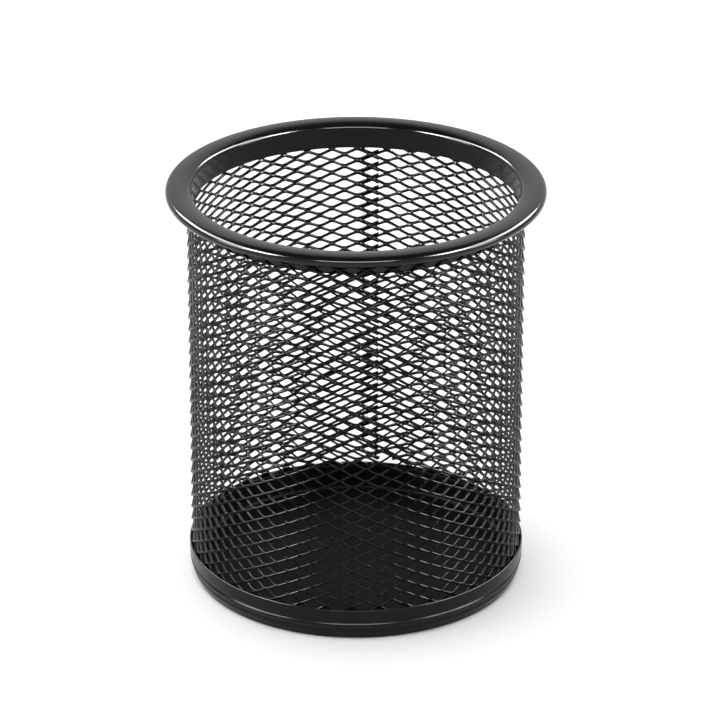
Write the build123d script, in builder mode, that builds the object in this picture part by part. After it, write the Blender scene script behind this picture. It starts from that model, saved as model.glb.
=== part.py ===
"""Pen holder cup: a welded mesh wall between a rolled top rim and a pressed base.

The origin is at the centre of the foot, on the surface that the cup stands on, with +Z up.
"""

from build123d import *
import os
from math import atan, ceil, cos, pi, radians, sin

# Overall sizes, in millimetres
cup_height = 100.0
rim_radius = 45.0  # outside of the rolled rim
mesh_radius = 40.0  # outside of the mesh wall, on its folds
sheet = 0.5  # gauge of the three pressed pieces
mesh_gauge = 0.5

# Top rim
collar_height = 6.0  # from the flange's face down to the collar's lower edge
rim_fold = 1.0  # centre-line radius of the bend from collar to flange
curl_diameter = 2.2  # outside of the rolled edge
curl_sweep = 230.0  # degrees that the edge is rolled through

# Expanded mesh
pitches = 40  # long-way pitches that make one turn
short_pitch = 3.135  # height of one diamond, centre to centre
strand_width = 0.7
selvage = 0.6  # least uncut strip along the sheet's top and bottom edges
seam_angle = 81.9  # degrees from +X to the sheet's inner end
lap_angle = 6.3  # degrees by which the outer end passes over the inner end
mesh_seat = 0.3  # mesh edge to the shoulder under it

# Foot band
band_height = 7.7
shoulder_height = 4.9
groove_depth = 0.4
groove_height = 4.5
bead_height = 3.7
neck_depth = 0.45
neck_height = 2.9
heel_depth = 0.35
heel_height = 2.2
foot_inset = 1.2  # band's centre line to that of the turn from heel to flange
flange_width = 3.1  # from that turn to the inner edge of the turned-in flange
band_bend = 0.35  # centre-line radius of the band's bends

# Base pan
pan_bend = 1.2  # centre-line radius of the bend from floor to wall
pan_lip = 0.05  # wall left above the row of welds

# Spot welds and clearances
weld_gap = 0.15  # air between two welded sheets
weld_radius = 0.4
floor_weld_radius = 0.6
weld_end = 0.02  # each nugget stops this far short of a sheet
weld_every = 5  # pitches, or rows, from one weld to the next
first_weld = 2  # the pitch that carries the first weld
band_fit = 0.05  # mesh wall to the band around it
lap_clearance = 0.1  # band's top edge to the lap above it
cutter_reach = 2.0  # how far the openings' cutters stand clear of the sheet

# Mesh sizes that follow
pitch_angle = 360 / pitches
column_angle = pitch_angle / 2
long_pitch = 2 * pi * mesh_radius / pitches
strand_slope = atan(short_pitch / long_pitch)
opening_half_width = long_pitch / 2 - strand_width / 2 / sin(strand_slope)
opening_half_height = short_pitch / 2 - strand_width / 2 / cos(strand_slope)
mesh_inner_radius = mesh_radius - mesh_gauge
mesh_flat_radius = mesh_inner_radius * cos(radians(column_angle / 2))
mesh_bottom = shoulder_height + mesh_seat
mesh_top = cup_height - sheet - rim_fold + sheet / 2 - band_fit
first_row = mesh_bottom + selvage + opening_half_height
row_span = mesh_top - selvage - opening_half_height - short_pitch / 2 - first_row
rows = int(row_span / short_pitch) + 1
lap_step = mesh_gauge + weld_gap
lap_bottom = band_height + lap_clearance

# Sheet-metal centre lines that follow
collar_outer = mesh_flat_radius - weld_gap
collar_centre = collar_outer - sheet / 2
flange_centre = cup_height - sheet / 2
curl_radius = (curl_diameter - sheet) / 2
curl_centre = rim_radius - curl_diameter / 2
band_centre = mesh_radius + band_fit + sheet / 2
foot_radius = band_centre - foot_inset
flange_radius = foot_radius - flange_width
floor_bottom = sheet + weld_gap
floor_centre = floor_bottom + sheet / 2
pan_wall_top = first_row + weld_radius + pan_lip
floor_weld_ring = (flange_radius + collar_outer - pan_bend - sheet / 2) / 2


def at(radius, angle):
    """Point of the XY plane at a radius and an angle in degrees."""
    return (radius * cos(radians(angle)), radius * sin(radians(angle)))


def facing_out(angle, radius):
    """Plane that faces away from the cup's axis, with its x around the wall and its y up."""
    outward = Vector(*at(1, angle))
    around = Vector(*at(1, angle + 90))
    return Plane(origin=outward * radius, x_dir=around, z_dir=outward)


def ring_outline(angles, radii):
    """Closed outline of a stretch of sheet whose outer corners stand at these radii."""
    outer = [at(radius, angle) for angle, radius in zip(angles, radii)]
    inner = [at(radius - mesh_gauge, angle) for angle, radius in zip(angles, radii)]
    Polyline(*outer, *reversed(inner), close=True)


def cut_column(angle, lowest, edge):
    """Cut one column of diamond openings, the lowest at a height, but none across an edge."""
    centres = [lowest + row * short_pitch for row in range(rows)]
    heights = [centre for centre in centres if centre - opening_half_height > edge]
    with BuildSketch(facing_out(angle, mesh_inner_radius - cutter_reach)) as column:
        with Locations(*[(0, height) for height in heights]):
            Polygon(
                (opening_half_width, 0),
                (0, opening_half_height),
                (-opening_half_width, 0),
                (0, -opening_half_height),
                align=None,
            )
    depth = mesh_gauge + lap_step + 2 * cutter_reach
    extrude(column.sketch, amount=depth, mode=Mode.SUBTRACT)


# Top rim: collar, flat flange and rolled edge, pressed from one ring of sheet
with BuildPart() as top_rim:
    with BuildSketch(Plane.XZ):
        with BuildLine():
            FilletPolyline(
                (collar_centre, cup_height - collar_height),
                (collar_centre, flange_centre),
                (curl_centre, flange_centre),
                radius=rim_fold,
            )
            CenterArc((curl_centre, flange_centre - curl_radius), curl_radius, 90, -curl_sweep)
        trace(line_width=sheet)
    revolve(axis=Axis.Z)

# Foot band: grips the mesh from outside, then runs over a bead to a turned-in flange
with BuildPart() as foot_band:
    with BuildSketch(Plane.XZ):
        with BuildLine():
            FilletPolyline(
                (band_centre, band_height),
                (band_centre, shoulder_height),
                (band_centre - groove_depth, groove_height),
                (band_centre, bead_height),
                (band_centre - neck_depth, neck_height),
                (band_centre - heel_depth, heel_height),
                (foot_radius, sheet / 2),
                (flange_radius, sheet / 2),
                radius=band_bend,
            )
        trace(line_width=sheet)
    revolve(axis=Axis.Z)

# Base pan: the cup's floor, with a wall turned up inside the mesh
with BuildPart() as base_pan:
    with BuildSketch(Plane.XZ):
        with BuildLine():
            FilletPolyline(
                (0, floor_centre),
                (collar_centre, floor_centre),
                (collar_centre, pan_wall_top),
                radius=pan_bend,
            )
        trace(line_width=sheet)
    revolve(axis=Axis.Z)

# One long-way pitch of the mesh, which the wall repeats
with BuildPart() as mesh_pitch:
    with BuildSketch(Plane.XY.offset(mesh_bottom)):
        with BuildLine():
            ring_outline(
                [seam_angle + step * column_angle for step in range(3)],
                [mesh_radius] * 3,
            )
        make_face()
    extrude(amount=mesh_top - mesh_bottom)
    cut_column(seam_angle, first_row, mesh_bottom)
    cut_column(seam_angle + column_angle, first_row + short_pitch / 2, mesh_bottom)
    cut_column(seam_angle + pitch_angle, first_row, mesh_bottom)

# The sheet's outer end, which steps out and passes over the inner end
lap_columns = ceil(lap_angle / column_angle)
lap_angles = [seam_angle + step * column_angle for step in range(-2, lap_columns)]
lap_angles.append(seam_angle + lap_angle)
lap_radii = [mesh_radius] + [mesh_radius + lap_step] * (len(lap_angles) - 1)
with BuildPart() as mesh_lap:
    with BuildSketch(Plane.XY.offset(lap_bottom)):
        with BuildLine():
            ring_outline(lap_angles, lap_radii)
        make_face()
    extrude(amount=mesh_top - lap_bottom)
    for step in range(-2, lap_columns + 1):
        lowest = first_row + step % 2 * short_pitch / 2
        cut_column(seam_angle + step * column_angle, lowest, lap_bottom + strand_width / 2)

# The whole sheet
with BuildPart() as mesh_wall:
    add(mesh_lap.part)
    with PolarLocations(0, pitches - 1, angular_range=360 - pitch_angle):
        add(mesh_pitch.part)

# Spot welds stand on the solid knuckles between the mesh's openings
weld_pitches = range(first_weld, pitches - 1, weld_every)
wall_weld_length = weld_gap - 2 * weld_end

rim_weld_height = first_row + short_pitch / 2 + (rows - 1) * short_pitch
rim_weld_angles = [seam_angle + step * pitch_angle for step in weld_pitches]
with BuildPart() as rim_spot_welds:
    with BuildSketch(*[facing_out(angle, collar_outer + weld_end) for angle in rim_weld_angles]):
        with Locations((0, rim_weld_height)):
            Circle(weld_radius)
    extrude(amount=wall_weld_length)

pan_weld_angles = [angle + column_angle for angle in rim_weld_angles]
with BuildPart() as pan_spot_welds:
    with BuildSketch(*[facing_out(angle, collar_outer + weld_end) for angle in pan_weld_angles]):
        with Locations((0, first_row)):
            Circle(weld_radius)
    extrude(amount=wall_weld_length)

with BuildPart() as floor_spot_welds:
    with BuildSketch(Plane.XY.offset(sheet + weld_end)):
        with PolarLocations(floor_weld_ring, len(weld_pitches)):
            Circle(floor_weld_radius)
    extrude(amount=wall_weld_length)

seam_weld_heights = [first_row + row * short_pitch for row in range(first_weld, rows, weld_every)]
seam_weld_length = (mesh_radius + weld_gap) * cos(radians(column_angle / 2)) - mesh_radius - 2 * weld_end
with BuildPart() as seam_spot_welds:
    with BuildSketch(facing_out(seam_angle + column_angle, mesh_radius + weld_end)):
        with Locations(*[(0, height) for height in seam_weld_heights]):
            Circle(weld_radius)
    extrude(amount=seam_weld_length)

os.makedirs("parts", exist_ok=True)
top_rim.part.label = "top_rim"
export_step(top_rim.part, "parts/top_rim.step")
mesh_wall.part.label = "mesh_wall"
export_step(mesh_wall.part, "parts/mesh_wall.step", write_pcurves=False)
base_pan.part.label = "base_pan"
export_step(base_pan.part, "parts/base_pan.step")
foot_band.part.label = "foot_band"
export_step(foot_band.part, "parts/foot_band.step")
rim_spot_welds.part.label = "rim_spot_welds"
export_step(rim_spot_welds.part, "parts/rim_spot_welds.step")
pan_spot_welds.part.label = "pan_spot_welds"
export_step(pan_spot_welds.part, "parts/pan_spot_welds.step")
floor_spot_welds.part.label = "floor_spot_welds"
export_step(floor_spot_welds.part, "parts/floor_spot_welds.step")
seam_spot_welds.part.label = "seam_spot_welds"
export_step(seam_spot_welds.part, "parts/seam_spot_welds.step")
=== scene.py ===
"""Looks of a pen holder cup: a mesh wall between a rolled top rim and a pressed base.

Each piece is a surface worked out with numpy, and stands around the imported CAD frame.
"""

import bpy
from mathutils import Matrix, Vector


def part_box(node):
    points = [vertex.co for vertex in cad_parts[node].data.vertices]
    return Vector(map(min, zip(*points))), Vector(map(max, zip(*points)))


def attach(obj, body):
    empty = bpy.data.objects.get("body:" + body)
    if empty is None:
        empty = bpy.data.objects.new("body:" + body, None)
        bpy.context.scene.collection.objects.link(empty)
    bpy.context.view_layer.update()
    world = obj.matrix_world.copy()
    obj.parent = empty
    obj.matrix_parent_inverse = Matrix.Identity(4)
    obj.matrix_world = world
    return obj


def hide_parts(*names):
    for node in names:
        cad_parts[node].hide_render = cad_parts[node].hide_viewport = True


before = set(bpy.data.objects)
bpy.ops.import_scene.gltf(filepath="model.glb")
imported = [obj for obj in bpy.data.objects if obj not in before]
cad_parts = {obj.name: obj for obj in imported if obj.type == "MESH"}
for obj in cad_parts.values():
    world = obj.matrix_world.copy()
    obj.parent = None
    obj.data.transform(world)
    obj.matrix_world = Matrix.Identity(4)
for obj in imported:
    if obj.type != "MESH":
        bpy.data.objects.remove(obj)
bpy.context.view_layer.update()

from math import asin as arcsine, cos, pi, radians, sin, tau

import bpy
import numpy as np
from mathutils import Vector

bl_info = {
    "name": "Mesh pen holder cup",
    "version": (1, 0, 0),
    "blender": (4, 5, 0),
    "location": "3D View > Sidebar > Pen Holder",
    "description": "Builds the visible pieces of a mesh pen holder cup and its stage",
    "category": "Add Mesh",
}

MM = 0.001
CUP_MIDDLE = Vector((0, 0, 50 * MM))
rim_low, rim_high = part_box("top_rim")
band_low, band_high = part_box("foot_band")
pan_low, pan_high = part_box("base_pan")
wall_low, wall_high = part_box("mesh_wall")


def length(name, description, default):
    """A size in metres."""
    return bpy.props.FloatProperty(
        name=name, description=description, default=default, unit="LENGTH", precision=5
    )


def turn(name, description, default):
    """An angle, given in degrees and kept in radians."""
    return bpy.props.FloatProperty(
        name=name, description=description, default=radians(default), subtype="ANGLE"
    )


def share(name, description, default):
    """A plain number from 0 to 1."""
    return bpy.props.FloatProperty(
        name=name, description=description, default=default, subtype="FACTOR", min=0, max=1
    )


def paint(name, description, default):
    """A colour without alpha."""
    return bpy.props.FloatVectorProperty(
        name=name, description=description, default=default, subtype="COLOR", size=3, min=0, max=1
    )


class SheetSizes(bpy.types.PropertyGroup):
    """Sizes of the three pressed sheet pieces."""

    gauge: length("Gauge", "Thickness of the rim, the foot ring and the pan", 0.5 * MM)
    rim_fold: length("Rim fold", "Centre-line radius of the bend from collar to flange", 0.9 * MM)
    crown: length("Flange crown", "Centre-line radius of the flange's slight curve", 12 * MM)
    crest: length("Flange crest", "Radius at which the flange is highest", 42.3 * MM)
    curl_radius: length("Curl radius", "Centre-line radius of the rolled edge", 0.95 * MM)
    curl_sweep: turn("Curl sweep", "Angle that the edge is rolled through", 235)
    band_bend: length("Band bend", "Centre-line radius of the foot ring's bends", 0.35 * MM)
    shoulder: length("Shoulder height", "Lower end of the foot ring's smooth band", 4.9 * MM)
    groove: length("Groove height", "Deepest line of the groove under the band", 4.5 * MM)
    groove_depth: length("Groove depth", "From the band's centre line to the groove's", 0.45 * MM)
    bead: length("Bead height", "Middle of the bead under the groove", 3.7 * MM)
    neck: length("Neck height", "Deepest line under the bead", 2.8 * MM)
    neck_depth: length("Neck depth", "From the band's centre line to the neck's", 0.6 * MM)
    heel: length("Heel height", "Low step under the neck", 2.1 * MM)
    heel_depth: length("Heel depth", "From the band's centre line to the heel's", 0.45 * MM)
    foot_inset: length("Foot inset", "From the band's centre line to the foot's turn", 1.2 * MM)
    flange_width: length("Foot flange", "From that turn to the flange's inner edge", 3.1 * MM)
    pan_bend: length("Pan bend", "Centre-line radius from the floor to its wall", 1.2 * MM)
    step: length("Outline step", "Distance between points of a sheet's outline", 0.18 * MM)
    segments: bpy.props.IntProperty(
        name="Segments", description="Faces round the cup", default=288, min=24
    )


class StrandSizes(bpy.types.PropertyGroup):
    """Sizes of the expanded mesh and of its strands."""

    radius: length("Radius", "Cylinder that the mesh's middle lies on", 39.65 * MM)
    gauge: length("Gauge", "Thickness of the sheet that the mesh is cut from", 0.5 * MM)
    width: length("Strand width", "Width of a strand, and half that of a knuckle", 0.76 * MM)
    knuckle: length("Knuckle length", "Length over which two strands stay joined", 0.6 * MM)
    stretch: share("Stretch", "How much thicker a strand's slanted section is", 0.15)
    necking: share("Necking", "Share of its width that a strand loses", 0.15)
    bend: bpy.props.FloatProperty(
        name="Bend", description="How slowly a strand turns away from its knuckle", default=1.0
    )
    first_bend: share("First bend", "Where a strand's first station stands", 0.45)
    pressed: share("Pressed", "Depth that is left where the mesh is pressed flat", 0.4)
    raised: share("Raised", "Depth that is left elsewhere, after rolling", 0.75)
    sink: length("Sink", "How far the raised mesh stands inside that cylinder", 0.1 * MM)
    column: turn("Column angle", "Angle from one column of openings to the next", 4.484)
    first_column: turn("First column", "Angle from +X to the column numbered 0", 89.53)
    row: length("Row height", "Height from one opening to the one above it", 3.135 * MM)
    first_row: length("First row", "Height of a knuckle of column 1", 91.78 * MM)
    drift: length("Drift", "Height that the rows lose in each column", 0.0047 * MM)
    lap_step: length("Lap step", "How far the outer end stands off the inner end", 0.72 * MM)


class CoatFinish(bpy.types.PropertyGroup):
    """Colours and gloss of the black powder coat."""

    pressed_colour: paint("Pressed steel", "Coat on the rim", (0.004, 0.004, 0.0042))
    pan_colour: paint("Pan", "Coat on the floor pan", (0.003, 0.003, 0.0032))
    foot_colour: paint("Foot ring", "Coat on the foot ring", (0.003, 0.003, 0.0032))
    mesh_colour: paint("Mesh", "Coat on the mesh", (0.002, 0.002, 0.0021))
    weld_colour: paint("Welds", "Coat over the weld nuggets", (0.006, 0.006, 0.0062))
    pressed_gloss: share("Pressed roughness", "Roughness of the rim", 0.14)
    foot_gloss: share("Foot roughness", "Roughness of the foot ring", 0.22)
    pan_gloss: share("Pan roughness", "Roughness of the floor pan", 0.5)
    mesh_gloss: share("Mesh roughness", "Roughness of the mesh", 0.15)
    weld_gloss: share("Weld roughness", "Roughness of the weld nuggets", 0.4)
    shine: share("Shine", "Strength of the rim's reflections", 0.5)
    foot_shine: share("Foot shine", "Strength of the foot ring's reflections", 0.32)
    mesh_shine: share("Mesh shine", "Strength of the mesh's reflections", 0.19)
    pan_shine: share("Pan shine", "Strength of the floor pan's reflections", 0.07)


class StageSizes(bpy.types.PropertyGroup):
    """Camera, floor and lights."""

    camera_distance: length("Camera distance", "From the camera to the cup's middle", 1.0304622)
    camera_rise: turn("Camera rise", "Angle of the camera above the floor", 24.737)
    lens: bpy.props.FloatProperty(
        name="Lens", description="Focal length for a 36 mm sensor", default=214.42
    )
    floor_colour: paint("Floor", "Plain pale floor", (0.85, 0.85, 0.85))
    floor_size: length("Floor size", "Side of the square floor", 8.0)
    top_power: bpy.props.FloatProperty(
        name="Top light", description="Power of the light that falls on the floor", default=66.0
    )
    side_power: bpy.props.FloatProperty(
        name="Side lights", description="Power of each softbox that the coat mirrors", default=46.0
    )
    front_power: bpy.props.FloatProperty(
        name="Front lights", description="Power of each mirrored light at the front", default=38.0
    )
    middle_power: bpy.props.FloatProperty(
        name="Middle light", description="Power of the mirrored light by the camera", default=24.0
    )
    low_power: bpy.props.FloatProperty(
        name="Low lights", description="Power of each low light that the coat mirrors", default=6.0
    )
    sky_low: bpy.props.FloatProperty(
        name="Low sky", description="Brightness of the backdrop", default=1.05
    )
    sky_front: share("Front sky", "Brightness behind the camera, as a share of the backdrop's", 0.5)
    sky_high: bpy.props.FloatProperty(
        name="High sky", description="Brightness overhead", default=0.06
    )


# Profiles and surfaces


# Points that round off each edge of a sheet
EDGE_POINTS = 5


def rounded_path(corners, radius, steps=10):
    """Path through corners, each rounded by an arc of one radius.

    With d and e the unit directions into and out of a corner, the arc's centre stands on
    the bisector e - d, at radius / cos(half the turn) from the corner. Its points are
    centre - radius * cos(t) * bisector + radius * sin(t) * along, for t from minus to
    plus half the turn, where along is d + e.
    """
    corners = np.asarray(corners, float)
    legs = np.diff(corners, axis=0)
    legs /= np.linalg.norm(legs, axis=1, keepdims=True)
    along = legs[:-1] + legs[1:]
    along /= np.linalg.norm(along, axis=1, keepdims=True)
    bisector = legs[1:] - legs[:-1]
    bisector /= np.linalg.norm(bisector, axis=1, keepdims=True)
    half_turn = np.arccos(np.clip((legs[:-1] * legs[1:]).sum(1), -1, 1)) / 2
    centre = corners[1:-1] + bisector * (radius / np.cos(half_turn))[:, None]
    t = half_turn[:, None] * np.linspace(-1, 1, steps)
    arcs = centre[:, None] - radius * np.cos(t)[..., None] * bisector[:, None]
    arcs = arcs + radius * np.sin(t)[..., None] * along[:, None]
    return np.concatenate([corners[:1], arcs.reshape(-1, 2), corners[-1:]])


def arc(centre, radius, start, end, steps=40):
    """Points centre + radius * (sin tilt, cos tilt), for tilts from upright between two angles."""
    tilt = np.linspace(start, end, steps)[:, None]
    return np.array(centre) + radius * np.concatenate([np.sin(tilt), np.cos(tilt)], axis=1)


def evened(path, step):
    """The same path with points a step apart, by interpolation on its running length."""
    lengths = np.linalg.norm(np.diff(path, axis=0), axis=1)
    path = path[np.concatenate([[True], lengths > step / 1000])]
    run = np.concatenate([[0], np.cumsum(np.linalg.norm(np.diff(path, axis=0), axis=1))])
    places = np.linspace(0, run[-1], int(run[-1] / step) + 2)
    return np.stack([np.interp(places, run, path[:, axis]) for axis in (0, 1)], axis=1)


def sheet_outline(path, gauge):
    """Closed outline of a sheet of this gauge, whose edges are half circles.

    The sides are path plus and minus half the gauge along its normal, and each end is
    the end point plus half the gauge times a unit vector that swings through half a turn.
    """
    along = np.gradient(path, axis=0)
    along /= np.linalg.norm(along, axis=1, keepdims=True)
    normal = np.stack([-along[:, 1], along[:, 0]], axis=1)
    swing = np.linspace(0, pi, EDGE_POINTS + 2)[1:-1, None]
    end = path[-1] + gauge / 2 * (np.cos(swing) * normal[-1] + np.sin(swing) * along[-1])
    start = path[0] - gauge / 2 * (np.cos(swing) * normal[0] + np.sin(swing) * along[0])
    left = path + normal * gauge / 2
    right = path - normal * gauge / 2
    return np.concatenate([left, end, right[::-1], start])


def revolved(outline, segments):
    """Closed ring: the outline's point (r, z) goes to (r cos a, r sin a, z) for each angle a."""
    angle = np.linspace(0, tau, segments, endpoint=False)[:, None]
    radius, height = outline[:, 0], outline[:, 1] + 0 * angle
    points = np.stack([radius * np.cos(angle), radius * np.sin(angle), height], axis=-1)
    count = len(outline)
    here = np.arange(segments)[:, None] * count
    there = np.roll(here, -1, axis=0)
    p = np.arange(count)
    q = np.roll(p, -1)
    faces = np.stack([here + p, there + p, there + q, here + q], axis=-1)
    return points.reshape(-1, 3), faces.reshape(-1, 4)


def facing_outwards(points, faces):
    """The faces, turned over as a whole if the volume that they enclose is below zero."""
    a, b, c = (points[faces[:, corner]] for corner in range(3))
    d = points[faces[:, -1]]
    volume = np.einsum("ij,ij->", a, np.cross(b, c)) + np.einsum("ij,ij->", a, np.cross(c, d))
    return faces if volume > 0 else faces[:, ::-1]


def piece(name, shells, material, node, smooth=True):
    """Mesh object from shells of (points, faces) that stands for a CAD node.

    A face whose last two corners are one point is kept as a triangle.
    """
    offset = 0
    points, corners, totals = [], [], []
    for shell_points, shell_faces in shells:
        used, place = np.unique(shell_faces, return_inverse=True)
        faces = facing_outwards(shell_points[used], place.reshape(shell_faces.shape))
        keep = faces != np.roll(faces, -1, axis=1)
        points.append(shell_points[used])
        corners.append(faces[keep] + offset)
        totals.append(keep.sum(1))
        offset += len(used)
    points = np.concatenate(points)
    corners, totals = np.concatenate(corners), np.concatenate(totals)
    mesh = bpy.data.meshes.new(name)
    mesh.vertices.add(len(points))
    mesh.vertices.foreach_set("co", points.astype(np.float32).ravel())
    mesh.loops.add(len(corners))
    mesh.loops.foreach_set("vertex_index", corners.astype(np.int32))
    mesh.polygons.add(len(totals))
    mesh.polygons.foreach_set("loop_start", np.concatenate([[0], totals[:-1]]).cumsum())
    mesh.update(calc_edges=True)
    if mesh.validate():
        raise RuntimeError(f"{name} came out with faulty faces")
    if smooth:
        mesh.shade_smooth()
    mesh.materials.append(material)
    made = bpy.data.objects.new(name, mesh)
    bpy.context.scene.collection.objects.link(made)
    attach(made, "root")
    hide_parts(node)
    return made


# The mesh's lattice


# Columns at the two cut ends of the mesh, counted from column 0
INNER_END = -1.70
OUTER_END = 80
# Angle, counted on round the cup, where the outer end begins to step out
LAP_START = radians(432.9)
# Height of each edge that holds no knuckle, and of the strip along the top edge
EDGE_ROOM = 1.2 * MM
TOP_STRIP = 1.0 * MM


def strand_mesh(strands, bottom, top, band_top, collar_low):
    """The expanded mesh as one closed shell of knuckles and strands, with its cut edges.

    Column c stands at the angle first_column + c * column, and half-row h at the height
    first_row + h * row / 2 - drift * c, with a knuckle wherever c + h is odd. Around a
    knuckle a corner has three measures: x round the wall, b across the knuckle's width
    and p through its thickness. With lean the angle of the knuckle's width from upright,
    the corner stands b * cos(lean) + p * sin(lean) above the knuckle and
    b * sin(lean) - p * cos(lean) outside it. Each knuckle is two strands wide. The
    strands leave it side by side, and move along p alone by reach * t ^ bend, where t is
    the share of the way to the middle between two columns. The outside distance is scaled
    by pressed where the mesh is flat (at the band, the collar and the seam) and by raised
    elsewhere, where the mesh is also sunk inwards.
    """
    half_width = strands.radius * strands.column / 2
    half_row = strands.row / 2
    width, gauge = strands.width, strands.gauge
    lean = np.arccos(width / half_row)
    reach = half_row * np.sin(lean) / 2
    start = strands.knuckle / 2

    def arm(x):
        """Height along p, half thickness along p and half width across b, of a strand at x."""
        t = np.clip((x - start) / (half_width - start), 0, 1)
        thick = gauge / 2 * (1 + strands.stretch * t)
        wide = width / 2 * (1 - strands.necking * smooth_step(t, 0, 1))
        return reach * t**strands.bend, thick, wide

    # Corners 0 to 11 are a knuckle's own, first on its right and then on its left. Corners
    # 12 to 27 are those of its arms' middle stations, and the last 8 are those of the two
    # arm ends that it owns. The arms go up right, up left, down left and down right.
    sides, bands, layers = np.meshgrid([1, -1], [-1, 0, 1], [-1, 1], indexing="ij")
    own_x, own_b, own_p = start * sides, width * bands, gauge / 2 * layers
    x_mid = start + strands.first_bend * (half_width - start)
    over = np.array([1, -1, -1, 1])[:, None, None]
    up = np.array([1, 1, -1, -1])[:, None, None]
    edge = np.array([-1, 1])[None, :, None]
    face = np.array([-1, 1])[None, None, :]

    def station(x, over, up):
        """The four corners of each of these arms at x, which go right and up by over and up."""
        rise, thick, wide = arm(x)
        along = x * over
        across = up * width / 2 + wide * edge
        through = up * rise + thick * face
        return np.broadcast_arrays(along, across, through)

    mid_x, mid_b, mid_p = station(x_mid, over, up)
    end_x, end_b, end_p = station(half_width, np.ones((2, 1, 1)), np.array([1, -1])[:, None, None])
    x = np.concatenate([own_x.ravel(), mid_x.ravel(), end_x.ravel()])
    b = np.concatenate([own_b.ravel(), mid_b.ravel(), end_b.ravel()])
    p = np.concatenate([own_p.ravel(), mid_p.ravel(), end_p.ravel()])
    corners = len(x)
    right_side = np.arange(corners) < 6
    shared = np.arange(corners) >= corners - 8

    # Every place of the lattice, with one column and row spare on each side
    column = np.arange(-2, OUTER_END + 2)
    rows_down = int((strands.first_row - bottom) / half_row)
    rows_up = int((top - strands.first_row) / half_row)
    half = np.arange(-rows_down - 1, rows_up + 2)
    c = column[:, None, None]
    h = half[None, :, None]

    # The inner end is cut close to the next column, so the last strands are drawn out
    stub = (INNER_END + 2) * 2 * half_width
    drawn = (c == -2) & shared
    x = np.where(drawn, stub, x)
    p = np.where(drawn, np.sign(p) * arm(stub)[0] + (p - np.sign(p) * reach), p)
    # The outer end is cut through the knuckles of its last column
    x = np.where((c == OUTER_END) & right_side, 0, x)

    angle = strands.first_column + c * strands.column + x / strands.radius
    centre = strands.first_row + h * half_row - strands.drift * c
    height = centre + b * np.cos(lean) + p * np.sin(lean)
    above_band = smooth_step(height, band_top, band_top + half_row)
    below_collar = smooth_step(height, collar_low, collar_low - half_row)
    seam_end = strands.first_column + 2.5 * strands.column
    past_seam = smooth_step(angle, seam_end, seam_end + strands.column)
    before_seam = smooth_step(angle, LAP_START, LAP_START - strands.column)
    raised = above_band * below_collar * (past_seam * before_seam)
    depth = strands.pressed + (strands.raised - strands.pressed) * raised
    radius = wall_radius(strands, angle) - strands.sink * raised
    radius = radius + depth * (b * np.sin(lean) - p * np.cos(lean))
    points = around(radius, angle, height)

    # Which places hold a knuckle. The stepped outer end has none as low as the band, so
    # an opening is left there, where it doesn't yet lie over the inner end.
    centre = np.broadcast_to(centre, (len(column), len(half), 1))[..., 0]
    c, h = c[..., 0], h[..., 0]
    held = ((c + h) % 2 == 1) & (c > -2) & (c <= OUTER_END)
    held &= (h > half[0]) & (h < half[-1])
    stepped = strands.first_column + c * strands.column > LAP_START - strands.column / 2
    held &= ~(stepped & (centre < band_top + half_row))
    whole = held & (c < OUTER_END)
    cut = held & (c == OUTER_END)

    def own(side, band):
        """The back and front corners at a side (0 right, 1 left) and band of a knuckle."""
        first = side * 6 + band * 2
        return [(0, 0, first), (0, 0, first + 1)]

    def ring(place, first):
        """The four corners of a strand's section, from its low edge to its high edge."""
        return [[(*place, first), (*place, first + 1)], [(*place, first + 2), (*place, first + 3)]]

    # Sections of the four arms: up right, up left, down left, down right
    starts = [
        [own(0, 1), own(0, 2)], [own(1, 1), own(1, 2)],
        [own(1, 0), own(1, 1)], [own(0, 0), own(0, 1)],
    ]
    middles = [ring((0, 0), 12 + 4 * number) for number in range(4)]
    ends = [ring((0, 0), 28), ring((-1, 1), 32), ring((-1, -1), 28), ring((0, 0), 32)]
    rightwards = [True, False, False, True]

    def tube(a, z, sides="blhf", turned=False):
        """Faces along a bar from section a to z: l low edge, h high edge, b back, f front."""
        quads = {
            "l": (a[0][0], z[0][0], z[0][1], a[0][1]),
            "h": (a[1][1], z[1][1], z[1][0], a[1][0]),
            "f": (a[0][1], z[0][1], z[1][1], a[1][1]),
            "b": (a[1][0], z[1][0], z[0][0], a[0][0]),
        }
        return [quads[side][::-1] if turned else quads[side] for side in sides]

    def cap(z, turned=False):
        """Face over the end of a bar."""
        quad = (z[0][0], z[1][0], z[1][1], z[0][1])
        return quad[::-1] if turned else quad

    body = tube(starts[1], starts[0], "hbf") + tube(starts[2], starts[3], "lbf")
    arms = [
        tube(a, m, turned=not way) + tube(m, z, turned=not way)
        for a, m, z, way in zip(starts, middles, ends, rightwards)
    ]

    def numbered(places, quads):
        """Faces as numbers of points, for these quads at each of these places."""
        i, k = np.nonzero(places)
        step = np.array(quads)
        i = i[:, None, None] + step[..., 0]
        k = k[:, None, None] + step[..., 1]
        return ((i * len(half) + k) * corners + step[..., 2]).reshape(-1, 4)

    faces = [numbered(whole, body + sum(arms, [])), numbered(cut, body + arms[1] + arms[2])]
    faces.append(numbered(cut, [cap(starts[0]), cap(starts[3])]))
    steps = [(1, 1), (-1, 1), (-1, -1), (1, -1)]
    for (over_c, over_h), end, way in zip(steps, ends, rightwards):
        neighbour = np.roll(held, (-over_c, -over_h), axis=(0, 1))
        bare = (whole if way else held) & ~neighbour
        faces.append(numbered(bare, [cap(end, not way)]))
    return points.reshape(-1, 3), np.concatenate(faces)


def smooth_step(value, start, end):
    """0 before start, 1 after end, and 3 t^2 - 2 t^3 of the share t of the way between."""
    t = np.clip((value - start) / (end - start), 0, 1)
    return t * t * (3 - 2 * t)


def lifted(height):
    """Moves (0, 0, height), one for each height."""
    return np.stack([0 * height, 0 * height, height], axis=1)


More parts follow.
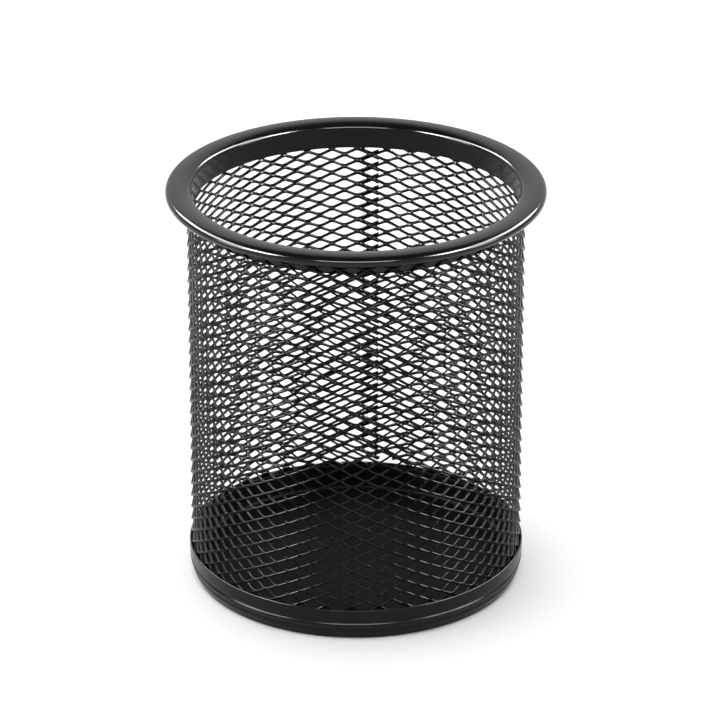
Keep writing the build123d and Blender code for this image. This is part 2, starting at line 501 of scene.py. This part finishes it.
def around(radius, angle, height):
    """Points at (radius cos angle, radius sin angle, height)."""
    radius, angle, height = np.broadcast_arrays(radius, angle, height)
    return np.stack([radius * np.cos(angle), radius * np.sin(angle), height], axis=-1)


def wall_radius(strands, angle):
    """Radius of the sheet's middle, which grows by the lap's step over the last columns."""
    rise = smooth_step(angle, LAP_START, LAP_START + strands.column)
    return strands.radius + strands.lap_step * rise


def selvage(strands, low, high, start, end, sides=12, steps=3):
    """Uncut strip along an edge: a rounded bar carried round from start to end.

    A point of its section stands half the gauge times the root of cos t from the mesh's
    middle, and half the strip's height times the root of sin t above the strip's own
    middle, with the signs of cos t and sin t kept. It has these steps in each column.
    """
    t = np.linspace(0, tau, sides, endpoint=False) + pi / sides
    ring_r = strands.gauge / 2 * np.sign(np.cos(t)) * np.abs(np.cos(t)) ** 0.5
    ring_z = (high - low) / 2 * np.sign(np.sin(t)) * np.abs(np.sin(t)) ** 0.5
    angle = np.linspace(start, end, int((end - start) / strands.column * steps) + 2)[:, None]
    radius = wall_radius(strands, angle) + ring_r
    points = around(radius, angle, (low + high) / 2 + ring_z)
    rings, count = points.shape[:2]
    here = np.arange(rings - 1)[:, None] * count
    p = np.arange(count)
    q = np.roll(p, -1)
    walls = np.stack([here + p, here + count + p, here + count + q, here + q], axis=-1)
    caps = np.stack([p[:-2] * 0, p[1:-1], p[2:], p[2:]], axis=-1)
    last = caps[:, [0, 2, 1, 1]] + (rings - 1) * count
    faces = np.concatenate([walls.reshape(-1, 4), caps, last])
    return points.reshape(-1, 3), faces


def nuggets(centres, outward, depth, radius, rings=7, sides=12):
    """Flat pills between two sheets: each is a ring profile turned about its own axis.

    A point of a pill is its centre + r (cos a * u + sin a * v) + d * outward, with the
    profile (r, d) from one face's middle over a rounded edge to the other's.
    """
    t = np.linspace(-pi / 2, pi / 2, rings)[:, None]
    a = np.linspace(0, tau, sides, endpoint=False)
    r = radius * np.cos(t) ** 0.6
    d = depth / 2 * np.sin(t)
    r[[0, -1]] = 0
    level = np.abs(outward[:, 2:]) > 0.5
    u = np.where(level, [1.0, 0, 0], np.cross([0, 0, 1.0], outward))
    v = np.cross(outward, u)
    round_u = np.cos(a)[:, None] * u[:, None, None]
    round_v = np.sin(a)[:, None] * v[:, None, None]
    spread = r[..., None] * (round_u + round_v)
    points = centres[:, None, None] + spread + d[..., None] * outward[:, None, None]
    here = np.arange(rings - 1)[:, None] * sides
    p = np.arange(sides)
    q = np.roll(p, -1)
    low_left, low_right = here + p, here + q
    low_left[0], low_right[0] = 0, 0
    up_left, up_right = here + sides + p, here + sides + q
    up_left[-1], up_right[-1] = (rings - 1) * sides, (rings - 1) * sides
    one = np.stack([low_left, low_right, up_right, up_left], axis=-1).reshape(-1, 4)
    faces = one + np.arange(len(centres))[:, None, None] * rings * sides
    return points.reshape(-1, 3), faces.reshape(-1, 4)


# Materials


# Slow changes over the coat: size of their noise, the part of it that is used, and the
# tone (as a share of the colour) and roughness (added) at the two ends of that part
CLOUD_SCALE = 55
CLOUD_DETAIL = 3
CLOUD_PART = (0.3, 0.7)
CLOUD_TONE = (0.75, 1.35)
CLOUD_GLOSS = (-0.03, 0.04)
# The clear top of the coat, and its orange peel
COAT_IOR = 1.32
PEEL_DETAIL = 2
PEEL_STRENGTH = 0.5
SOFT_EDGE_SAMPLES = 6
# Each coat: its colour, roughness and shine in CoatFinish, then the scale and depth of
# its peel, and the radius that its edges are shaded to
COATS = {
    "pressed_steel_coat": ("pressed_colour", "pressed_gloss", "shine", 900, 0.006 * MM, 0),
    "pan_coat": ("pan_colour", "pan_gloss", "pan_shine", 900, 0.02 * MM, 0),
    "foot_coat": ("foot_colour", "foot_gloss", "foot_shine", 900, 0.01 * MM, 0),
    "mesh_coat": ("mesh_colour", "mesh_gloss", "mesh_shine", 1500, 0.012 * MM, 0.14 * MM),
    "weld_coat": ("weld_colour", "weld_gloss", "shine", 2500, 0.02 * MM, 0),
}


def coat_material(name, colour, roughness, shine, peel, depth, soft_edge):
    """Black powder coat: a fine orange-peel surface, with slow changes of tone and gloss.

    A soft_edge above 0 shades edges as if they were rounded to that radius.
    """
    material = bpy.data.materials.new(name)
    material.use_nodes = True
    tree = material.node_tree
    nodes, links = tree.nodes, tree.links
    shader = nodes["Principled BSDF"]
    shader.inputs["IOR"].default_value = COAT_IOR
    shader.inputs["Specular IOR Level"].default_value = shine
    place = nodes.new("ShaderNodeTexCoord")

    cloud = nodes.new("ShaderNodeTexNoise")
    cloud.inputs["Scale"].default_value = CLOUD_SCALE
    cloud.inputs["Detail"].default_value = CLOUD_DETAIL
    links.new(place.outputs["Object"], cloud.inputs["Vector"])
    tone = nodes.new("ShaderNodeValToRGB")
    for end, place_on, share_of in zip(tone.color_ramp.elements, CLOUD_PART, CLOUD_TONE):
        end.position = place_on
        end.color = (*[share_of * level for level in colour], 1)
    links.new(cloud.outputs["Fac"], tone.inputs["Fac"])
    links.new(tone.outputs["Color"], shader.inputs["Base Color"])

    gloss = nodes.new("ShaderNodeMapRange")
    gloss.inputs["From Min"].default_value = CLOUD_PART[0]
    gloss.inputs["From Max"].default_value = CLOUD_PART[1]
    gloss.inputs["To Min"].default_value = roughness + CLOUD_GLOSS[0]
    gloss.inputs["To Max"].default_value = roughness + CLOUD_GLOSS[1]
    links.new(cloud.outputs["Fac"], gloss.inputs["Value"])
    links.new(gloss.outputs["Result"], shader.inputs["Roughness"])

    skin = nodes.new("ShaderNodeTexNoise")
    skin.inputs["Scale"].default_value = peel
    skin.inputs["Detail"].default_value = PEEL_DETAIL
    links.new(place.outputs["Object"], skin.inputs["Vector"])
    bump = nodes.new("ShaderNodeBump")
    bump.inputs["Strength"].default_value = PEEL_STRENGTH
    bump.inputs["Distance"].default_value = depth
    links.new(skin.outputs["Fac"], bump.inputs["Height"])
    if soft_edge > 0:
        rounding = nodes.new("ShaderNodeBevel")
        rounding.samples = SOFT_EDGE_SAMPLES
        rounding.inputs["Radius"].default_value = soft_edge
        links.new(rounding.outputs["Normal"], bump.inputs["Normal"])
    links.new(bump.outputs["Normal"], shader.inputs["Normal"])
    return material


def finish_named(name):
    """The coat of this name, made once and then shared."""
    kept = bpy.data.materials.get(name)
    if kept:
        return kept
    coat = bpy.context.scene.cup_coat
    *looks, peel, depth, soft_edge = COATS[name]
    colour, roughness, shine = (getattr(coat, look) for look in looks)
    return coat_material(name, colour, roughness, shine, peel, depth, soft_edge)


# Operators


def collar_centre():
    """Radius of the collar's and the pan wall's centre line, from the pan's own box."""
    return pan_high.x - bpy.context.scene.cup_sheet.gauge / 2


class CUP_OT_rolled_rim(bpy.types.Operator):
    """Collar, flange and rolled edge, as one sheet profile carried round the axis"""

    bl_idname = "cup.rolled_rim"
    bl_label = "Rolled rim"

    def execute(self, context):
        sizes = context.scene.cup_sheet
        collar = collar_centre()
        face = rim_high.z - sizes.gauge / 2
        fold_centre = collar + sizes.rim_fold
        curl_centre = rim_high.x - sizes.gauge / 2 - sizes.curl_radius
        inner_tilt = arcsine((sizes.crest - fold_centre) / (sizes.crown - sizes.rim_fold))
        outer_tilt = arcsine((curl_centre - sizes.crest) / (sizes.crown - sizes.curl_radius))
        low = face - sizes.crown
        flange = arc((sizes.crest, low), sizes.crown, -inner_tilt, outer_tilt)
        fold_low = low + (sizes.crown - sizes.rim_fold) * cos(inner_tilt)
        fold = arc((fold_centre, fold_low), sizes.rim_fold, -pi / 2, -inner_tilt)
        curl_low = low + (sizes.crown - sizes.curl_radius) * cos(outer_tilt)
        curl_end = outer_tilt + sizes.curl_sweep
        curl = arc((curl_centre, curl_low), sizes.curl_radius, outer_tilt, curl_end)
        collar_edge = np.array([[collar, rim_low.z]])
        path = evened(np.concatenate([collar_edge, fold, flange, curl]), sizes.step)
        shell = revolved(sheet_outline(path, sizes.gauge), sizes.segments)
        coat = finish_named("pressed_steel_coat")
        piece("rolled_rim", [shell], coat, "top_rim")
        return {"FINISHED"}


class CUP_OT_foot_ring(bpy.types.Operator):
    """Band, bead and turned-in foot, as one sheet profile carried round the axis"""

    bl_idname = "cup.foot_ring"
    bl_label = "Foot ring"

    def execute(self, context):
        sizes = context.scene.cup_sheet
        band = band_high.x - sizes.gauge / 2
        foot = band - sizes.foot_inset
        corners = [
            (band, band_high.z),
            (band, sizes.shoulder),
            (band - sizes.groove_depth, sizes.groove),
            (band, sizes.bead),
            (band - sizes.neck_depth, sizes.neck),
            (band - sizes.heel_depth, sizes.heel),
            (foot, sizes.gauge / 2),
            (foot - sizes.flange_width, sizes.gauge / 2),
        ]
        path = evened(rounded_path(corners, sizes.band_bend), sizes.step)
        shell = revolved(sheet_outline(path, sizes.gauge), sizes.segments)
        piece("foot_ring", [shell], finish_named("foot_coat"), "foot_band")
        return {"FINISHED"}


class CUP_OT_floor_pan(bpy.types.Operator):
    """Floor disc with a wall turned up inside the mesh, carried round the axis"""

    bl_idname = "cup.floor_pan"
    bl_label = "Floor pan"
    innermost = 0.5 * MM
    bend_points = 24

    def execute(self, context):
        sizes = context.scene.cup_sheet
        wall = collar_centre()
        floor = pan_low.z + sizes.gauge / 2
        corners = [(self.innermost, floor), (wall, floor), (wall, pan_high.z)]
        path = evened(rounded_path(corners, sizes.pan_bend, self.bend_points), sizes.step * 2)
        # The outline's last points would round off the middle of the disc, where the
        # surface closes at a pole on each side
        edge = sheet_outline(path, sizes.gauge)[:-EDGE_POINTS]
        edge[0, 0], edge[-1, 0] = 0, 0
        points, faces = revolved(edge, sizes.segments)
        count = len(edge)
        first, last = faces % count == 0, faces % count == count - 1
        across = first.any(1) & last.any(1)
        faces = np.where(first, 0, np.where(last, count - 1, faces))[~across]
        coat = finish_named("pan_coat")
        piece("floor_pan", [(points, faces)], coat, "base_pan")
        return {"FINISHED"}


class CUP_OT_strand_mesh(bpy.types.Operator):
    """Expanded mesh, as one lattice of knuckles and strands with its two edge strips"""

    bl_idname = "cup.strand_mesh"
    bl_label = "Strand mesh"

    def execute(self, context):
        strands = context.scene.cup_strands
        low, high = wall_low.z, wall_high.z
        room_low, room_high = low + EDGE_ROOM, high - EDGE_ROOM
        lattice = strand_mesh(strands, room_low, room_high, band_high.z, rim_low.z)
        start = strands.first_column + INNER_END * strands.column
        end = strands.first_column + OUTER_END * strands.column
        top = selvage(strands, high - TOP_STRIP, high, start, end)
        bottom = selvage(strands, low, room_low, start, LAP_START)
        shells = [lattice, top, bottom]
        coat = finish_named("mesh_coat")
        piece("strand_mesh", shells, coat, "mesh_wall", smooth=False)
        return {"FINISHED"}


class CUP_OT_weld_nuggets(bpy.types.Operator):
    """Spot welds that hold the mesh to the rim, the pan and itself, and the pan to the foot"""

    bl_idname = "cup.weld_nuggets"
    bl_label = "Weld nuggets"
    # How far a nugget goes into a sheet, and the radii of the nuggets on walls and floor
    bite = 0.02 * MM
    wall_nugget = 0.4 * MM
    floor_nugget = 0.6 * MM
    floor_count = 8
    # Columns of the knuckles that are welded to the rim and the pan
    columns = np.arange(4, 77, 10)
    # Column and half rows of the knuckles that are welded together in the seam
    seam_column = 79
    seam_halves = np.arange(-54, 1, 10)

    def execute(self, context):
        strands = context.scene.cup_strands
        coat = finish_named("weld_coat")
        gauge = context.scene.cup_sheet.gauge
        half_row = strands.row / 2
        angles = strands.first_column + self.columns * strands.column
        outward = around(1, angles, 0)
        middle = outward * (pan_high.x + strands.radius) / 2
        gap = strands.radius - pan_high.x + self.bite
        for name, node in (("rim_nuggets", "rim_spot_welds"), ("pan_nuggets", "pan_spot_welds")):
            low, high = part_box(node)
            wanted = (low.z + high.z) / 2
            half = np.round((wanted - strands.first_row) / half_row / 2 - 0.5) * 2 + 1
            height = strands.first_row + half * half_row - strands.drift * self.columns
            shell = nuggets(middle + lifted(height), outward, gap, self.wall_nugget)
            piece(name, [shell], coat, node)

        low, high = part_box("floor_spot_welds")
        spread = np.linspace(0, tau, self.floor_count, endpoint=False)
        centres = around(high.x - self.floor_nugget, spread, (low.z + high.z) / 2)
        upward = np.tile([0, 0, 1.0], (self.floor_count, 1))
        shell = nuggets(centres, upward, pan_low.z - gauge + self.bite, self.floor_nugget)
        piece("floor_nuggets", [shell], coat, "floor_spot_welds")

        angle = strands.first_column + self.seam_column * strands.column
        outward = np.array([[cos(angle), sin(angle), 0]] * len(self.seam_halves))
        drop = strands.drift * self.seam_column
        height = strands.first_row + self.seam_halves * half_row - drop
        centres = outward * (strands.radius + strands.lap_step / 2) + lifted(height)
        gap = strands.lap_step - strands.gauge + 2 * self.bite
        shell = nuggets(centres, outward, gap, self.wall_nugget)
        piece("seam_nuggets", [shell], coat, "seam_spot_welds")
        return {"FINISHED"}


# Lights: name, place, width, height, and the value in StageSizes that powers each
TOP_LIGHT = ("top_light", (-0.2, 0.1, 1.6), 2.6, 2.6, "top_power")
MIRRORED_LIGHTS = (
    ("left_softbox", (-0.8, 0.2, 0.68), 1.4, 0.28, "side_power"),
    ("right_softbox", (0.8, 0.25, 0.68), 1.4, 0.28, "side_power"),
    ("left_front_light", (-0.81, -0.47, 0.63), 0.35, 0.35, "front_power"),
    ("right_front_light", (0.81, -0.47, 0.63), 0.35, 0.35, "front_power"),
    ("middle_light", (0, -1.15, 0.78), 1.0, 0.4, "middle_power"),
    ("left_low_light", (-1.0, -0.25, 0.3), 0.35, 0.25, "low_power"),
    ("right_low_light", (1.0, -0.2, 0.3), 0.35, 0.25, "low_power"),
)
# Camera: how the picture is shifted to frame the cup, sensor width, nearest and furthest
LENS_SHIFT = (0.0056, 0.0236)
SENSOR_WIDTH = 36
CAMERA_REACH = (0.05, 50)
# Floor: it hardly shines
FLOOR_ROUGHNESS = 0.9
FLOOR_SHINE = 0.1
# Heights over which the sky darkens, and distances back over which it grows brighter,
# both on a unit ball round the cup
SKY_EDGE = (sin(radians(27)), sin(radians(42)))
FRONT_EDGE = (0.25, 0.8)


class CUP_OT_stage(bpy.types.Operator):
    """Plain pale floor, soft studio light and the camera"""

    bl_idname = "cup.stage"
    bl_label = "Stage"

    def execute(self, context):
        stage = context.scene.cup_stage
        scene = context.scene
        scene.view_settings.view_transform = "Standard"
        half = stage.floor_size / 2
        mesh = bpy.data.meshes.new("floor")
        corners = [(-half, -half, 0), (half, -half, 0), (half, half, 0), (-half, half, 0)]
        mesh.from_pydata(corners, [], [(0, 1, 2, 3)])
        floor = bpy.data.objects.new("floor", mesh)
        scene.collection.objects.link(floor)
        pale = bpy.data.materials.new("pale_floor")
        pale.use_nodes = True
        shader = pale.node_tree.nodes["Principled BSDF"]
        shader.inputs["Base Color"].default_value = (*stage.floor_colour, 1)
        shader.inputs["Roughness"].default_value = FLOOR_ROUGHNESS
        shader.inputs["Specular IOR Level"].default_value = FLOOR_SHINE
        mesh.materials.append(pale)

        # The top light lights the floor and isn't mirrored. The others are only mirrored.
        self.softbox(stage, *TOP_LIGHT).visible_glossy = False
        for light in MIRRORED_LIGHTS:
            self.softbox(stage, *light).visible_diffuse = False
        self.sky(scene, stage)

        lens = bpy.data.cameras.new("camera")
        lens.lens = stage.lens
        lens.sensor_width = SENSOR_WIDTH
        lens.shift_x, lens.shift_y = LENS_SHIFT
        lens.clip_start, lens.clip_end = CAMERA_REACH
        camera = bpy.data.objects.new("camera", lens)
        scene.collection.objects.link(camera)
        back = Vector((0, -cos(stage.camera_rise), sin(stage.camera_rise)))
        camera.location = CUP_MIDDLE + back * stage.camera_distance
        camera.rotation_mode = "QUATERNION"
        camera.rotation_quaternion = (-back).to_track_quat("-Z", "Y")
        scene.camera = camera
        return {"FINISHED"}

    def softbox(self, stage, name, place, width, height, power):
        """Rectangular area light that faces the cup's middle."""
        light = bpy.data.lights.new(name, "AREA")
        light.shape = "RECTANGLE"
        light.size, light.size_y = width, height
        light.energy = getattr(stage, power)
        lamp = bpy.data.objects.new(name, light)
        bpy.context.scene.collection.objects.link(lamp)
        lamp.location = place
        aim = CUP_MIDDLE - Vector(place)
        lamp.rotation_mode = "QUATERNION"
        lamp.rotation_quaternion = aim.to_track_quat("-Z", "Y")
        lamp.visible_camera = False
        return lamp

    def sky(self, scene, stage):
        """Backdrop that is bright low down behind the cup, and dimmer in front and overhead."""
        world = bpy.data.worlds.new("studio")
        world.use_nodes = True
        nodes, links = world.node_tree.nodes, world.node_tree.links
        place = nodes.new("ShaderNodeTexCoord")
        part = nodes.new("ShaderNodeSeparateXYZ")
        ramp = nodes.new("ShaderNodeMapRange")
        ramp.interpolation_type = "SMOOTHSTEP"
        ramp.inputs["From Min"].default_value = SKY_EDGE[0]
        ramp.inputs["From Max"].default_value = SKY_EDGE[1]
        ramp.inputs["To Min"].default_value = stage.sky_low
        ramp.inputs["To Max"].default_value = stage.sky_high
        front = nodes.new("ShaderNodeMapRange")
        front.inputs["From Min"].default_value = FRONT_EDGE[0]
        front.inputs["From Max"].default_value = FRONT_EDGE[1]
        front.inputs["To Min"].default_value = stage.sky_front
        both = nodes.new("ShaderNodeMath")
        both.operation = "MULTIPLY"
        links.new(place.outputs["Generated"], part.inputs["Vector"])
        links.new(part.outputs["Z"], ramp.inputs["Value"])
        links.new(part.outputs["Y"], front.inputs["Value"])
        links.new(ramp.outputs["Result"], both.inputs[0])
        links.new(front.outputs["Result"], both.inputs[1])
        links.new(both.outputs["Value"], nodes["Background"].inputs["Strength"])
        nodes["Background"].inputs["Color"].default_value = (1, 1, 1, 1)
        scene.world = world


class CUP_PT_panel(bpy.types.Panel):
    """Buttons and sizes for the cup"""

    bl_idname = "CUP_PT_panel"
    bl_label = "Pen holder cup"
    bl_space_type = "VIEW_3D"
    bl_region_type = "UI"
    bl_category = "Pen Holder"

    def draw(self, context):
        for operator in OPERATORS:
            self.layout.operator(operator.bl_idname)
        for group, kind in GROUPS.items():
            box = self.layout.box()
            for name in kind.__annotations__:
                box.prop(getattr(context.scene, group), name)


GROUPS = {
    "cup_sheet": SheetSizes,
    "cup_strands": StrandSizes,
    "cup_coat": CoatFinish,
    "cup_stage": StageSizes,
}
OPERATORS = (
    CUP_OT_rolled_rim,
    CUP_OT_foot_ring,
    CUP_OT_floor_pan,
    CUP_OT_strand_mesh,
    CUP_OT_weld_nuggets,
    CUP_OT_stage,
)


def register():
    for kind in (*GROUPS.values(), *OPERATORS, CUP_PT_panel):
        bpy.utils.register_class(kind)
    for group, kind in GROUPS.items():
        setattr(bpy.types.Scene, group, bpy.props.PointerProperty(type=kind))


def unregister():
    for group in GROUPS:
        delattr(bpy.types.Scene, group)
    for kind in (CUP_PT_panel, *reversed(OPERATORS), *reversed(GROUPS.values())):
        bpy.utils.unregister_class(kind)


def main():
    """Builds every piece and the stage."""
    register()
    bpy.ops.cup.rolled_rim()
    bpy.ops.cup.foot_ring()
    bpy.ops.cup.floor_pan()
    bpy.ops.cup.strand_mesh()
    bpy.ops.cup.weld_nuggets()
    bpy.ops.cup.stage()


if __name__ == "__main__":
    main()
